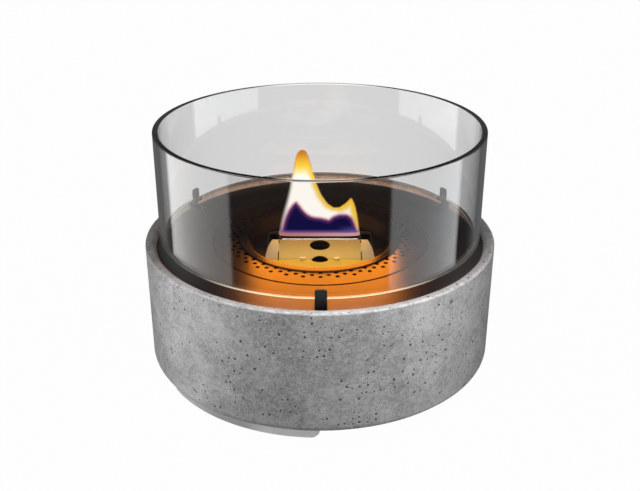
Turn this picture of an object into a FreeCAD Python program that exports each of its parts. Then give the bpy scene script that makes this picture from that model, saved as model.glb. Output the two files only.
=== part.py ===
import FreeCAD, Part
import Sketcher
import math
import os
import re

# Tabletop fire pit in millimetres. The origin is on the table under the middle of the bowl,
# +Z is up, the front is -Y and the flame slot runs along X.

DIMENSIONS = {
    # Bowl
    "bowl_radius": (164, "outside of the concrete"),
    "rim_height": (124, "table to the flat rim"),
    "rim_inner_radius": (154, "wall inside the rim"),
    "rim_round": (1.6, "rounding of both rim edges"),
    "ledge_depth": (8, "rim down to the ledge that carries the deck"),
    "ledge_inner_radius": (143, "mouth of the hollow under the deck"),
    "cavity_floor_radius": (137, "the hollow tapers to this at its floor"),
    "floor_thickness": (16, "concrete under the hollow"),
    "base_round": (6, "lower outside edge"),
    # Foot pads
    "foot_height": (10, "table to the underside of the bowl"),
    "foot_outer_radius": (156.2, "outside of the pads"),
    "foot_width": (19, "pad, measured outwards"),
    "foot_arc": (60, "degrees covered by one pad"),
    "foot_end_round": (8, "rounded lower ends"),
    # Deck
    "seal_thickness": (1, "flat seal on the ledge"),
    "seal_outer_radius": (152, "outside of the seal"),
    "seal_inner_radius": (145, "inside of the seal"),
    "plate_thickness": (2, "deck and vent ring sheet"),
    "deck_outer_radius": (153, "outside of the deck"),
    "deck_seat_radius": (102.6, "step down to the seat of the vent ring"),
    "deck_inner_radius": (96, "opening of the deck"),
    # Glass and its clips
    "glass_radius": (150, "outside of the glass"),
    "glass_wall": (5, "thickness of the glass"),
    "glass_height": (100, "length of the glass"),
    "glass_gap": (11, "air gap from deck to glass"),
    "glass_edge_round": (0.8, "polished edges"),
    "clip_width": (10, "width of a clip"),
    "clip_sheet": (1.8, "sheet of a clip"),
    "clip_leg": (9.4, "outer leg above the lower edge of the glass"),
    "clip_fit": (0.9, "glass to the outer leg"),
    "clip_shelf_radius": (144, "inner end of the shelf under the glass"),
    "clip_foot_radius": (134, "inner end of the foot on the deck"),
    "clip_corner": (2, "rounded top of the leg"),
    "clip_screw_radius": (139, "place of the screw in the foot"),
    "liner_thickness": (1, "soft liner under the glass"),
    "liner_side": (0.5, "soft liner beside the glass"),
    "liner_width": (9, "liner along the clip"),
    "clip_screw_size": (4, "thread of a clip screw"),
    "clip_screw_length": (10, "under the head"),
    "clip_head_size": (7, "head of a clip screw"),
    "clip_head_height": (2.4, "head of a clip screw"),
    "clip_nut_size": (7, "across the flats of a nut"),
    "clip_nut_height": (3.2, "height of a nut"),
    "screw_play": (0.2, "hole wider than its screw"),
    # Vent ring
    "ring_outer_radius": (100.9, "outside of the ring, with a seam to the deck"),
    "ring_inner_radius": (71, "opening for the dish"),
    "vent_hole": (4, "diameter of a vent hole"),
    "vent_outer_row": (86.3, "radius of the outer row"),
    "vent_middle_row": (82.5, "radius of the middle row"),
    "vent_inner_row": (78.6, "radius of the inner row"),
    "vent_count": (36, "holes in one row"),
    # Burner dish
    "burner_sheet": (1.2, "dish, tank and cover sheet"),
    "lip_outer_radius": (76.3, "edge of the lip on the vent ring"),
    "lip_inner_radius": (69, "where the lip turns down"),
    "lip_round": (3, "bend of the lip"),
    "dish_floor_radius": (62, "flat floor of the dish"),
    "dish_floor_height": (108.8, "top of that floor"),
    "dish_slot_length": (76, "opening for the wick holder"),
    "dish_slot_width": (14, "opening for the wick holder"),
    "dish_fill_hole": (17, "holes under the fill holes of the cover"),
    "wall_run": (1.4, "thickness of the sloping wall, measured level"),
    "tab_width": (4.6, "locating tab"),
    "tab_height": (3.2, "locating tab above the dish floor"),
    "tab_side": (15.8, "locating tab from the middle"),
    "tab_play": (0.4, "room round a tab in the cover"),
    # Fuel tank
    "tank_radius": (42, "outside of the tank"),
    "tank_base": (46, "underside of the tank"),
    "tank_round": (5, "lower edge of the tank"),
    "tank_flange_radius": (54, "flange under the dish"),
    "gasket_thickness": (1, "seal between flange and dish"),
    "gasket_inner_radius": (39, "opening of that seal"),
    "tank_screw_radius": (48, "circle of the tank screws"),
    "tank_screw_size": (3, "thread of a tank screw"),
    "tank_head_size": (5.5, "head of a tank screw"),
    "tank_head_height": (1.8, "head of a tank screw"),
    # Fibre, wick and its holder
    "fibre_play": (0.4, "fibre to the tank wall"),
    "fibre_top": (88, "top of the fibre, where the wick stands"),
    "fibre_chamfer": (4.6, "lower edge of the fibre"),
    "wick_length": (70.6, "wick along the slot"),
    "wick_thickness": (9, "wick across the slot"),
    "wick_top": (114.5, "upper edge of the wick"),
    "sleeve_length": (73, "outside of the sleeve"),
    "sleeve_width": (11.6, "outside of the sleeve"),
    "sleeve_sheet": (1, "wall of the sleeve"),
    "sleeve_base": (92, "lower edge of the sleeve"),
    "sleeve_top": (112.5, "upper edge of the sleeve"),
    "ear_reach": (48.4, "end of an ear from the middle"),
    "holder_screw_radius": (45.6, "screw in an ear"),
    # Burner cover and collar
    "cover_top": (120, "flat strip beside the slot"),
    "cover_base_half": (51, "half width at the fold"),
    "cover_top_half": (45, "half width at the top"),
    "cover_side_round": (15, "curve of both ends"),
    "cover_fold": (31, "fold line from the middle"),
    "cover_ridge": (9.4, "half depth of the flat strip"),
    "cover_flange_radius": (59, "edge of the flat flange"),
    "cover_open_width": (49.4, "half width open below"),
    "cover_open_depth": (28.6, "half depth open below"),
    "slot_length": (75.2, "flame slot"),
    "slot_width": (16.7, "flame slot"),
    "finger_hole_width": (19, "upper oval hole"),
    "finger_hole_depth": (11.2, "upper oval hole, in plan"),
    "finger_hole_place": (15.5, "its middle from the slot's middle"),
    "fill_hole_width": (15.4, "lower oval hole"),
    "fill_hole_depth": (10.4, "lower oval hole, in plan"),
    "fill_hole_place": (32.5, "its middle from the slot's middle"),
    "slit_width": (1, "relief slits beside the fold"),
    "slit_place": (38.6, "slit from the middle"),
    "slit_outer": (33.5, "slit's end on the flange"),
    "slit_inner": (22.4, "slit's end on the slope"),
    "notch_outer": (13, "short slit below the top strip"),
    "notch_inner": (9.8, "its upper end"),
    "strip_half": (39.1, "where the top strip ends"),
    "end_cut_half": (48, "outside of the cut that ends it"),
    "end_cut_depth": (8.8, "half depth of that cut"),
    "collar_length": (75, "collar in the flame slot"),
    "collar_width": (16.5, "collar in the flame slot"),
    "collar_sheet": (1, "wall of the collar"),
    "collar_depth": (4, "collar below the top strip"),
    "bead_length": (71.4, "turned lips along the slot"),
    "bead_width": (0.9, "turned lips along the slot"),
    "bead_height": (1, "turned lips above the strip"),
}

# Heights that follow from the driving dimensions, as formulas of the sheet
LEDGE = "rim_height - ledge_depth"
DECK_BASE = LEDGE + " + seal_thickness"
DECK_TOP = DECK_BASE + " + plate_thickness"
GLASS_BASE = DECK_TOP + " + glass_gap"
CLIP_SHELF = GLASS_BASE + " - liner_thickness"
LEG_INSIDE = "glass_radius + clip_fit"
LEG_OUTSIDE = LEG_INSIDE + " + clip_sheet"
DISH_UNDER = "dish_floor_height - burner_sheet"
FLANGE_TOP = DISH_UNDER + " - gasket_thickness"
FLANGE_UNDER = FLANGE_TOP + " - burner_sheet"
ON_DISH_FLOOR = "dish_floor_height + burner_sheet"

# Directions round the bowl, in degrees from +X
DECK_TURN = 0.3
CLIP_TURNS = {"front": -90 + DECK_TURN, "left": 150 + DECK_TURN, "right": 30 + DECK_TURN}
FOOT_TURNS = {"left": -120, "right": 0, "rear": 120}
TANK_SCREW_COUNT = 6
TANK_SCREW_START = 30
EAR_SIDES = (0, 180)
TOLERANCE = 0.001

doc = FreeCAD.newDocument("TabletopFirePit")
sheet = doc.addObject("Spreadsheet::Sheet", "dims")
for row, (alias, (size, note)) in enumerate(DIMENSIONS.items(), 1):
    sheet.set("A%d" % row, alias)
    sheet.set("B%d" % row, str(size))
    sheet.set("C%d" % row, note)
    sheet.setAlias("B%d" % row, alias)
doc.recompute()
finished = []


def bind(formula):
    """The formula with every dimension's name pointing at the sheet."""
    return re.sub(r"[a-z]+(?:_[a-z]+)+", r"dims.\g<0>", formula)


def value(formula):
    """The formula worked out as a number."""
    return float(sheet.evalExpression(bind(formula)))


def new_body(label):
    body = doc.addObject("PartDesign::Body", "Body_" + label)
    body.Label = label
    finished.append(body)
    return body


def new_sketch(body, plane, height=None):
    """An empty sketch on one of the body's own planes, lifted to a height where one is given."""
    sketch = body.newObject("Sketcher::SketchObject", "Sketch")
    origin_plane = next(f for f in body.Origin.OriginFeatures if f.Role == plane)
    sketch.AttachmentSupport = [(origin_plane, "")]
    sketch.MapMode = "FlatFace"
    if height:
        sketch.setExpression("AttachmentOffset.Base.z", bind(height))
    return sketch


def pin(sketch, geometry, point, across, up):
    """Ties one point of the sketch to two formulas."""
    for kind, axis, formula in (("DistanceX", -2, across), ("DistanceY", -1, up)):
        size = value(formula)
        if size == 0:
            sketch.addConstraint(Sketcher.Constraint("PointOnObject", geometry, point, axis))
        else:
            index = sketch.addConstraint(Sketcher.Constraint(kind, -1, 1, geometry, point, size))
            sketch.setExpression("Constraints[%d]" % index, bind(formula))


def bowed(here, there, radius):
    """The arc from one point to the next, swelling to the right of the way between them."""
    chord = there - here
    left = FreeCAD.Vector(-chord.y, chord.x, 0) / chord.Length
    centre = (here + there) / 2 + left * math.sqrt(radius ** 2 - (chord.Length / 2) ** 2)
    start, end = (math.atan2(p.y - centre.y, p.x - centre.x) for p in (here, there))
    circle = Part.Circle(centre, FreeCAD.Vector(0, 0, 1), radius)
    return Part.ArcOfCircle(circle, start, end if end > start else end + 2 * math.pi)


def add_outline(sketch, points):
    """A closed outline through (across, up) formulas, anticlockwise. A third formula is the radius
    of an outward arc on the side that starts there; the other sides are straight."""
    corners = [FreeCAD.Vector(value(point[0]), value(point[1]), 0) for point in points]
    first = sketch.GeometryCount
    for point, here, there in zip(points, corners, corners[1:] + corners[:1]):
        straight = len(point) == 2
        sketch.addGeometry(Part.LineSegment(here, there) if straight else bowed(here, there, value(point[2])))
    for index, point in enumerate(points):
        following = first + (index + 1) % len(points)
        sketch.addConstraint(Sketcher.Constraint("Coincident", first + index, 2, following, 1))
        pin(sketch, first + index, 1, point[0], point[1])
        if len(point) == 3:
            size = sketch.addConstraint(Sketcher.Constraint("Radius", first + index, value(point[2])))
            sketch.setExpression("Constraints[%d]" % size, bind(point[2]))


def add_rectangle(sketch, left, right, low, high):
    add_outline(sketch, [(left, low), (right, low), (right, high), (left, high)])


def add_circle(sketch, across, up, diameter):
    centre = FreeCAD.Vector(value(across), value(up), 0)
    circle = sketch.addGeometry(Part.Circle(centre, FreeCAD.Vector(0, 0, 1), value(diameter) / 2))
    pin(sketch, circle, 3, across, up)
    size = sketch.addConstraint(Sketcher.Constraint("Diameter", circle, value(diameter)))
    sketch.setExpression("Constraints[%d]" % size, bind(diameter))


def add_oval(sketch, across, up, width, depth):
    """An ellipse with its long axis along the sketch's first direction."""
    centre = FreeCAD.Vector(value(across), value(up), 0)
    ellipse = sketch.addGeometry(Part.Ellipse(centre, value(width) / 2, value(depth) / 2))
    sketch.exposeInternalGeometry(ellipse)
    long_axis, short_axis = ellipse + 1, ellipse + 2
    pin(sketch, ellipse, 3, across, up)
    sketch.addConstraint(Sketcher.Constraint("Horizontal", long_axis))
    for axis, formula in ((long_axis, width), (short_axis, depth)):
        size = sketch.addConstraint(Sketcher.Constraint("Distance", axis, value(formula)))
        sketch.setExpression("Constraints[%d]" % size, bind(formula))


def revolve(body, points, arc=None):
    """Turns a profile of (radius, height) points about Z, by a full turn or by an arc's formula."""
    sketch = new_sketch(body, "XZ_Plane")
    add_outline(sketch, points)
    turned = body.newObject("PartDesign::Revolution", "Turned")
    turned.Profile = sketch
    turned.ReferenceAxis = (sketch, ["V_Axis"])
    turned.Angle = 360
    if arc:
        turned.Midplane = True
        turned.setExpression("Angle", bind(arc))
    doc.recompute()
    return turned


def pad(body, sketch, length, both_ways=False):
    padded = body.newObject("PartDesign::Pad", "Pad")
    padded.Profile = sketch
    padded.setExpression("Length", bind(length))
    if both_ways:
        padded.SideType = "Symmetric"
    doc.recompute()
    return padded


def cut_through(body, sketch):
    """Cuts a sketch right through the body, both ways from its plane."""
    before = body.Shape.Volume
    pocket = body.newObject("PartDesign::Pocket", "Cut")
    pocket.Profile = sketch
    pocket.Type = "ThroughAll"
    pocket.SideType = "Symmetric"
    doc.recompute()
    if before - body.Shape.Volume < TOLERANCE:
        raise RuntimeError("nothing was cut from " + body.Label)
    return pocket


def repeat(body, feature, count):
    """Copies a cut round the Z axis."""
    pattern = body.newObject("PartDesign::PolarPattern", "Repeat")
    pattern.Originals = [feature]
    pattern.Axis = (feature.Profile[0], ["N_Axis"])
    pattern.Angle = 360
    pattern.setExpression("Occurrences", bind(count))
    body.Tip = pattern
    doc.recompute()


def round_edges(body, wanted, radius):
    """Fillets the edges of the body's last feature that the test picks."""
    feature = body.Tip
    names = ["Edge%d" % i for i, edge in enumerate(feature.Shape.Edges, 1) if wanted(edge)]
    if not names:
        raise RuntimeError("no edge to round on " + body.Label)
    fillet = body.newObject("PartDesign::Fillet", "Round")
    fillet.Base = (feature, names)
    fillet.setExpression("Radius", bind(radius))
    doc.recompute()


def ring_at(*places):
    """A test for whole circular edges at any of the given (radius, height) formulas."""
    sizes = [(value(radius), value(height)) for radius, height in places]

    def wanted(edge):
        if not isinstance(edge.Curve, Part.Circle):
            return False
        return any(abs(edge.Curve.Radius - radius) < TOLERANCE and
                   abs(edge.Curve.Center.z - height) < TOLERANCE for radius, height in sizes)
    return wanted


def straight_at(height):
    """A test for straight, level edges at a height, along the body's first direction."""
    level = value(height)

    def wanted(edge):
        if not isinstance(edge.Curve, (Part.Line, Part.LineSegment)):
            return False
        return all(abs(v.Z - level) < TOLERANCE for v in edge.Vertexes)
    return wanted


def turn(obj, degrees):
    obj.Placement = FreeCAD.Placement(FreeCAD.Vector(), FreeCAD.Vector(0, 0, 1), degrees)


def drill_ring(body, radius, diameter, count, start):
    """Screw holes on a circle, the first at a start angle in degrees from +X."""
    sketch = new_sketch(body, "XY_Plane")
    across = "(%s) * cos(%g deg)" % (radius, start)
    up = "(%s) * sin(%g deg)" % (radius, start)
    add_circle(sketch, across, up, diameter + " + screw_play")
    repeat(body, cut_through(body, sketch), str(count))


def cylinder(radius, low, height, across="0", along="0"):
    solid = doc.addObject("Part::Cylinder", "Cylinder")
    solid.setExpression("Radius", bind(radius))
    solid.setExpression("Height", bind(height))
    solid.setExpression("Placement.Base.x", bind(across))
    solid.setExpression("Placement.Base.y", bind(along))
    solid.setExpression("Placement.Base.z", bind(low))
    return solid


def block(length, width, low, high, across="0", along="0"):
    """A box centred on a place in plan, between two heights."""
    solid = doc.addObject("Part::Box", "Block")
    solid.setExpression("Length", bind(length))
    solid.setExpression("Width", bind(width))
    solid.setExpression("Height", bind("%s - (%s)" % (high, low)))
    solid.setExpression("Placement.Base.x", bind("%s - (%s) / 2" % (across, length)))
    solid.setExpression("Placement.Base.y", bind("%s - (%s) / 2" % (along, width)))
    solid.setExpression("Placement.Base.z", bind(low))
    return solid


def join(pieces):
    fused = doc.addObject("Part::MultiFuse", "Join")
    fused.Shapes = pieces
    return fused


def subtract(base, tool):
    cut = doc.addObject("Part::Cut", "Subtract")
    cut.Base = base
    cut.Tool = tool
    return cut


def finish_part(obj, label):
    obj.Label = label
    finished.append(obj)


def group(label, pieces):
    """Identical fasteners as one sub-part of separate solids."""
    compound = doc.addObject("Part::Compound", "Group")
    compound.Links = pieces
    finish_part(compound, label)


def on_circle(radius, degrees):
    """Formulas for a place in plan on a circle."""
    return "%s * cos(%g deg)" % (radius, degrees), "%s * sin(%g deg)" % (radius, degrees)


# Bowl: a turned wall with a ledge inside its rim, tapered inside, and the floor of the hollow set in it
bowl = new_body("concrete_bowl")
cavity_floor = "foot_height + floor_thickness"
revolve(bowl, [("cavity_floor_radius", "foot_height"), ("bowl_radius", "foot_height"),
               ("bowl_radius", "rim_height"), ("rim_inner_radius", "rim_height"),
               ("rim_inner_radius", LEDGE), ("ledge_inner_radius", LEDGE),
               ("cavity_floor_radius", cavity_floor)])
round_edges(bowl, ring_at(("bowl_radius", "foot_height")), "base_round")
round_edges(bowl, ring_at(("bowl_radius", "rim_height"), ("rim_inner_radius", "rim_height")), "rim_round")

floor = new_body("bowl_floor")
revolve(floor, [("0", "foot_height"), ("cavity_floor_radius", "foot_height"),
                ("cavity_floor_radius", cavity_floor), ("0", cavity_floor)])

# Foot pads: three arcs with rounded lower ends
for place, degrees in FOOT_TURNS.items():
    foot = new_body("foot_pad_" + place)
    foot_inside = "foot_outer_radius - foot_width"
    revolve(foot, [(foot_inside, "0"), ("foot_outer_radius", "0"), ("foot_outer_radius", "foot_height"),
                   (foot_inside, "foot_height")], arc="foot_arc")
    round_edges(foot, straight_at("0"), "foot_end_round")
    turn(foot, degrees)

# Seal on the ledge
seal = new_body("ledge_seal")
revolve(seal, [("seal_inner_radius", LEDGE), ("seal_outer_radius", LEDGE), ("seal_outer_radius", DECK_BASE),
               ("seal_inner_radius", DECK_BASE)])

# Deck: a flat plate pressed down one sheet at its opening, where the vent ring sits
deck = new_body("deck_plate")
seat_base = DECK_BASE + " - plate_thickness"
step_outside = "deck_seat_radius + plate_thickness"
revolve(deck, [("deck_outer_radius", DECK_BASE), ("deck_outer_radius", DECK_TOP),
               ("deck_seat_radius", DECK_TOP), ("deck_seat_radius", DECK_BASE),
               ("deck_inner_radius", DECK_BASE), ("deck_inner_radius", seat_base),
               (step_outside, seat_base), (step_outside, DECK_BASE)])
drill_ring(deck, "clip_screw_radius", "clip_screw_size", len(CLIP_TURNS), CLIP_TURNS["front"])

# Glass cylinder
glass = new_body("glass_cylinder")
glass_inside = "glass_radius - glass_wall"
glass_top = GLASS_BASE + " + glass_height"
revolve(glass, [(glass_inside, GLASS_BASE), ("glass_radius", GLASS_BASE), ("glass_radius", glass_top),
                (glass_inside, glass_top)])
round_edges(glass, ring_at((glass_inside, GLASS_BASE), ("glass_radius", GLASS_BASE),
                           (glass_inside, glass_top), ("glass_radius", glass_top)), "glass_edge_round")

# Clips: a foot on the deck, an upright outside the glass and a shelf under it, with a soft liner
shelf_under = CLIP_SHELF + " - clip_sheet"
leg_top = GLASS_BASE + " + clip_leg"
foot_top = DECK_TOP + " + clip_sheet"
liner_top = leg_top + " - liner_thickness"
for place, degrees in CLIP_TURNS.items():
    clip = new_body("glass_clip_" + place)
    sketch = new_sketch(clip, "XZ_Plane")
    add_outline(sketch, [("clip_foot_radius", DECK_TOP), (LEG_OUTSIDE, DECK_TOP), (LEG_OUTSIDE, leg_top),
                         (LEG_INSIDE, leg_top), (LEG_INSIDE, CLIP_SHELF), ("clip_shelf_radius", CLIP_SHELF),
                         ("clip_shelf_radius", shelf_under), (LEG_INSIDE, shelf_under),
                         (LEG_INSIDE, foot_top), ("clip_foot_radius", foot_top)])
    pad(clip, sketch, "clip_width", both_ways=True)
    hole = new_sketch(clip, "XY_Plane")
    add_circle(hole, "clip_screw_radius", "0", "clip_screw_size + screw_play")
    cut_through(clip, hole)
    round_edges(clip, lambda edge: straight_at(leg_top)(edge) and
                len({round(v.Y, 3) for v in edge.Vertexes}) == 1, "clip_corner")
    turn(clip, degrees)

    liner = new_body("clip_liner_" + place)
    sketch = new_sketch(liner, "XZ_Plane")
    liner_inside = LEG_INSIDE + " - liner_side"
    add_outline(sketch, [("clip_shelf_radius", CLIP_SHELF), (LEG_INSIDE, CLIP_SHELF), (LEG_INSIDE, liner_top),
                         (liner_inside, liner_top), (liner_inside, GLASS_BASE),
                         ("clip_shelf_radius", GLASS_BASE)])
    pad(liner, sketch, "liner_width", both_ways=True)
    turn(liner, degrees)

# Screws and nuts of the clips
screws = []
nuts = []
for degrees in CLIP_TURNS.values():
    across, along = on_circle("clip_screw_radius", degrees)
    head = cylinder("clip_head_size / 2", foot_top, "clip_head_height", across, along)
    shank = cylinder("clip_screw_size / 2", foot_top + " - clip_screw_length", "clip_screw_length",
                     across, along)
    screws.append(join([head, shank]))
    nut = doc.addObject("Part::Prism", "Nut")
    nut.Polygon = 6
    nut.setExpression("Circumradius", bind("clip_nut_size / sqrt(3)"))
    nut.setExpression("Height", bind("clip_nut_height"))
    nut.setExpression("Placement.Base.x", bind(across))
    nut.setExpression("Placement.Base.y", bind(along))
    nut.setExpression("Placement.Base.z", bind(DECK_BASE + " - clip_nut_height"))
    thread = cylinder("(clip_screw_size + screw_play) / 2", DECK_BASE + " - clip_nut_height",
                      "clip_nut_height", across, along)
    nuts.append(subtract(nut, thread))
group("clip_screws", screws)
group("clip_nuts", nuts)

# Vent ring: three staggered rows of holes, drawn once and repeated round the ring
ring = new_body("vent_ring")
revolve(ring, [("ring_inner_radius", DECK_BASE), ("ring_outer_radius", DECK_BASE),
               ("ring_outer_radius", DECK_TOP), ("ring_inner_radius", DECK_TOP)])
holes = new_sketch(ring, "XY_Plane")
add_circle(holes, "0", "-vent_outer_row", "vent_hole")
add_circle(holes, "0", "-vent_inner_row", "vent_hole")
half_step = "180 deg / vent_count"
add_circle(holes, "vent_middle_row * sin(%s)" % half_step, "-vent_middle_row * cos(%s)" % half_step,
           "vent_hole")
repeat(ring, cut_through(ring, holes), "vent_count")
turn(ring, DECK_TURN)

# Burner dish: hangs by its lip on the vent ring
dish = new_body("burner_dish")
lip_top = DECK_TOP + " + burner_sheet"
wall_slope = "(lip_inner_radius - dish_floor_radius) / (%s - dish_floor_height)" % lip_top
lip_under = "lip_inner_radius - burner_sheet * %s + wall_run" % wall_slope
floor_under = "dish_floor_radius - burner_sheet * %s + wall_run" % wall_slope
revolve(dish, [("lip_outer_radius", DECK_TOP), ("lip_outer_radius", lip_top), ("lip_inner_radius", lip_top),
               ("dish_floor_radius", "dish_floor_height"), ("0", "dish_floor_height"), ("0", DISH_UNDER),
               (floor_under, DISH_UNDER), (lip_under, DECK_TOP)])
round_edges(dish, ring_at(("lip_inner_radius", lip_top)), "lip_round")
tabs = new_sketch(dish, "XY_Plane", height="dish_floor_height")
tab_places = [(side, end) for side in ("-", "") for end in ("-", "")]
tab_middle = "(cover_fold + burner_sheet / 2 + tab_play)"
for side, end in tab_places:
    add_rectangle(tabs, side + "tab_side - tab_width / 2", side + "tab_side + tab_width / 2",
                  end + tab_middle + " - burner_sheet / 2", end + tab_middle + " + burner_sheet / 2")
pad(dish, tabs, "tab_height")
floor_holes = new_sketch(dish, "XY_Plane")
add_rectangle(floor_holes, "-dish_slot_length / 2", "dish_slot_length / 2",
              "-dish_slot_width / 2", "dish_slot_width / 2")
for end in ("-", ""):
    add_circle(floor_holes, "0", end + "fill_hole_place", "dish_fill_hole")
cut_through(dish, floor_holes)
drill_ring(dish, "tank_screw_radius", "tank_screw_size", TANK_SCREW_COUNT, TANK_SCREW_START)
drill_ring(dish, "holder_screw_radius", "tank_screw_size", len(EAR_SIDES), EAR_SIDES[0])

# Fuel tank: a drawn cup with a flange, and the gasket between that flange and the dish
tank = new_body("fuel_tank")
tank_inside = "tank_radius - burner_sheet"
tank_floor = "tank_base + burner_sheet"
revolve(tank, [("0", "tank_base"), ("tank_radius", "tank_base"), ("tank_radius", FLANGE_UNDER),
               ("tank_flange_radius", FLANGE_UNDER), ("tank_flange_radius", FLANGE_TOP),
               (tank_inside, FLANGE_TOP), (tank_inside, tank_floor), ("0", tank_floor)])
round_edges(tank, ring_at(("tank_radius", "tank_base")), "tank_round")
round_edges(tank, ring_at((tank_inside, tank_floor)), "tank_round - burner_sheet")
gasket = new_body("tank_seal")
revolve(gasket, [("gasket_inner_radius", FLANGE_TOP), ("tank_flange_radius", FLANGE_TOP),
                 ("tank_flange_radius", DISH_UNDER), ("gasket_inner_radius", DISH_UNDER)])
for body in (tank, gasket):
    drill_ring(body, "tank_screw_radius", "tank_screw_size", TANK_SCREW_COUNT, TANK_SCREW_START)
    drill_ring(body, "holder_screw_radius", "tank_screw_size", len(EAR_SIDES), EAR_SIDES[0])
tank_screws = []
for index in range(TANK_SCREW_COUNT):
    degrees = TANK_SCREW_START + 360 * index / TANK_SCREW_COUNT
    across, along = on_circle("tank_screw_radius", degrees)
    head = cylinder("tank_head_size / 2", FLANGE_UNDER + " - tank_head_height", "tank_head_height",
                    across, along)
    shank = cylinder("tank_screw_size / 2", FLANGE_UNDER, "dish_floor_height - (%s)" % FLANGE_UNDER,
                     across, along)
    tank_screws.append(join([head, shank]))
group("tank_screws", tank_screws)

# Fibre that soaks up the fuel, with the wick standing on it
fibre = new_body("fibre_core")
fibre_radius = tank_inside + " - fibre_play"
revolve(fibre, [("0", tank_floor), (fibre_radius + " - fibre_chamfer", tank_floor),
                (fibre_radius, tank_floor + " + fibre_chamfer"), (fibre_radius, "fibre_top"),
                ("0", "fibre_top")])
finish_part(block("wick_length", "wick_thickness", "fibre_top", "wick_top"), "wick")

# Wick holder: a sleeve with an ear at each end, screwed to the dish
sleeve = block("sleeve_length", "sleeve_width", "sleeve_base", "sleeve_top")
ears = block("ear_reach * 2", "sleeve_width", "dish_floor_height", ON_DISH_FLOOR)
bore = block("sleeve_length - sleeve_sheet * 2", "sleeve_width - sleeve_sheet * 2",
             "sleeve_base", "sleeve_top")
ear_holes = []
holder_screws = []
for degrees in EAR_SIDES:
    across, along = on_circle("holder_screw_radius", degrees)
    ear_holes.append(cylinder("(tank_screw_size + screw_play) / 2", "dish_floor_height", "burner_sheet",
                              across, along))
    head = cylinder("tank_head_size / 2", ON_DISH_FLOOR, "tank_head_height", across, along)
    shank = cylinder("tank_screw_size / 2", FLANGE_UNDER, "%s - (%s)" % (ON_DISH_FLOOR, FLANGE_UNDER),
                     across, along)
    holder_screws.append(join([head, shank]))
finish_part(subtract(join([sleeve, ears]), join([bore] + ear_holes)), "wick_holder")
group("holder_screws", holder_screws)

# Burner cover: a folded sheet, flange, slope, top strip, slope and flange, open at both ends
cover = new_body("burner_cover")
front_view = new_sketch(cover, "XZ_Plane")
add_outline(front_view, [("-cover_base_half", "dish_floor_height"),
                         ("cover_base_half", "dish_floor_height", "cover_side_round"),
                         ("cover_top_half", "cover_top"),
                         ("-cover_top_half", "cover_top", "cover_side_round")])
pad(cover, front_view, "cover_fold * 2", both_ways=True)
side_view = new_sketch(cover, "YZ_Plane")
for end in ("", "-"):
    add_outline(side_view, [(end + "cover_ridge", "cover_top"), (end + "cover_fold", ON_DISH_FLOOR),
                            (end + "cover_fold", "cover_top")])
fall = "((cover_top - (%s)) / (cover_fold - cover_ridge))" % ON_DISH_FLOOR
sheet_upright = "burner_sheet * sqrt(1 + %s ^ 2)" % fall
under_ridge = "(cover_ridge - (%s - burner_sheet) / %s)" % (sheet_upright, fall)
under_foot = "(cover_ridge + (cover_top - %s - dish_floor_height) / %s)" % (sheet_upright, fall)
add_outline(side_view, [("-" + under_foot, "dish_floor_height"), (under_foot, "dish_floor_height"),
                        (under_ridge, "cover_top - burner_sheet"),
                        ("-" + under_ridge, "cover_top - burner_sheet")])
cut_through(cover, side_view)
flange = new_sketch(cover, "XY_Plane", height="dish_floor_height")
flange_corner = "sqrt(cover_flange_radius ^ 2 - cover_base_half ^ 2)"
add_outline(flange, [("cover_base_half", "-" + flange_corner),
                     ("cover_base_half", flange_corner, "cover_flange_radius"),
                     ("-cover_base_half", flange_corner),
                     ("-cover_base_half", "-" + flange_corner, "cover_flange_radius")])
add_rectangle(flange, "-cover_open_width", "cover_open_width", "-cover_open_depth", "cover_open_depth")
pad(cover, flange, "burner_sheet")
openings = new_sketch(cover, "XY_Plane")
add_rectangle(openings, "-slot_length / 2", "slot_length / 2", "-slot_width / 2", "slot_width / 2")
for end in ("-", ""):
    add_oval(openings, "0", end + "finger_hole_place", "finger_hole_width", "finger_hole_depth")
    add_oval(openings, "0", end + "fill_hole_place", "fill_hole_width", "fill_hole_depth")
add_rectangle(openings, "strip_half", "end_cut_half", "-end_cut_depth", "end_cut_depth")
add_rectangle(openings, "-end_cut_half", "-strip_half", "-end_cut_depth", "end_cut_depth")
for side, end in tab_places:
    add_rectangle(openings, side + "tab_side - tab_width / 2 - tab_play",
                  side + "tab_side + tab_width / 2 + tab_play",
                  end + tab_middle + " - burner_sheet / 2 - tab_play",
                  end + tab_middle + " + burner_sheet / 2 + tab_play")
    for outer, inner in (("slit_outer", "slit_inner"), ("notch_outer", "notch_inner")):
        add_rectangle(openings, side + "slit_place - slit_width / 2", side + "slit_place + slit_width / 2",
                      end + outer, end + inner)
cut_through(cover, openings)

# Collar: lines the flame slot, with a turned lip along each long side
collar_low = "cover_top - collar_depth"
collar_top = "cover_top + bead_height"
outside = block("collar_length", "collar_width", collar_low, collar_top)
lips = block("bead_length", "collar_width + bead_width * 2", "cover_top", collar_top)
inside = block("collar_length - collar_sheet * 2", "collar_width - collar_sheet * 2", collar_low, collar_top)
finish_part(subtract(join([outside, lips]), inside), "slot_collar")

# Every object is checked before anything is written
doc.recompute()
for obj in doc.Objects:
    if {"Invalid", "Error"} & set(obj.State):
        raise RuntimeError("%s did not build: %s" % (obj.Label, obj.State))
os.makedirs("parts", exist_ok=True)
for part in finished:
    if part.Shape.isNull() or not part.Shape.isValid():
        raise RuntimeError("%s has no valid shape" % part.Label)
for part in finished:
    part.Shape.exportStep("parts/%s.step" % part.Label)
    box = part.Shape.BoundBox
    print("%-18s solids %2d  volume %10.1f  z %6.1f to %6.1f" % (
        part.Label, len(part.Shape.Solids), part.Shape.Volume, box.ZMin, box.ZMax))
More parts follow.
